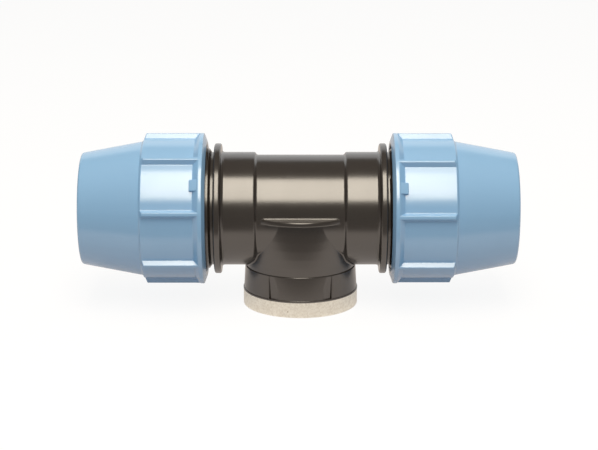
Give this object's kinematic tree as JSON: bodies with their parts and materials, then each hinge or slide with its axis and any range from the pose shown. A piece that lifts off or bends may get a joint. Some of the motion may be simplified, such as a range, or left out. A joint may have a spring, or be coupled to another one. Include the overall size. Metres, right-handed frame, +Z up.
{
  "type": "pipe tee",
  "caption": "Compression tee for plastic pipe: a black body with a threaded branch in a metal ring, and a ribbed blue screw nut on each end of its run.",
  "frame": {"origin": "centre of the mouth of the branch, on the plane that the tee stands on", "axes": "+X along the run, to the right in the picture; -Z out of the branch's mouth, so +Z is up; -Y towards the camera"},
  "size_m": [0.3022, 0.105, 0.1205],
  "materials": {
    "body_plastic": "satin black moulded polypropylene",
    "ring_steel": "dull rolled stainless steel",
    "seal_rubber": "smooth black nitrile rubber",
    "bush_plastic": "black moulded polypropylene",
    "grip_plastic": "white moulded acetal",
    "nut_plastic": "satin light blue moulded polypropylene"
  },
  "bodies": {
    "tee_body": {"body": "body_plastic", "reinforcing_ring": "ring_steel", "seal_left": "seal_rubber", "seal_right": "seal_rubber", "packing_bush_left": "bush_plastic", "packing_bush_right": "bush_plastic"},
    "left_grip": {"grip_ring_left": "grip_plastic"},
    "left_nut": {"nut_left": "nut_plastic"},
    "right_grip": {"grip_ring_right": "grip_plastic"},
    "right_nut": {"nut_right": "nut_plastic"}
  },
  "joints": [
    {"name": "left_grip_slide", "type": "slide", "parent": "tee_body", "child": "left_grip", "axis": [-1, 0, 0], "range_m": [0, 0.0276]},
    {"name": "left_nut_turn", "type": "hinge", "parent": "left_grip", "child": "left_nut", "pos_m": [-0.1, 0, 0.068], "axis": [-1, 0, 0], "range_deg": [0, 1656]},
    {"name": "right_grip_slide", "type": "slide", "parent": "tee_body", "child": "right_grip", "axis": [1, 0, 0], "range_m": [0, 0.03]},
    {"name": "right_nut_turn", "type": "hinge", "parent": "right_grip", "child": "right_nut", "pos_m": [0.1, 0, 0.068], "axis": [1, 0, 0], "range_deg": [0, 1800]}
  ],
  "couplings": [
    {"joint": "left_grip_slide", "follows": "left_nut_turn", "m_per_rad": 0.0009549},
    {"joint": "right_grip_slide", "follows": "right_nut_turn", "m_per_rad": 0.0009549}
  ]
}
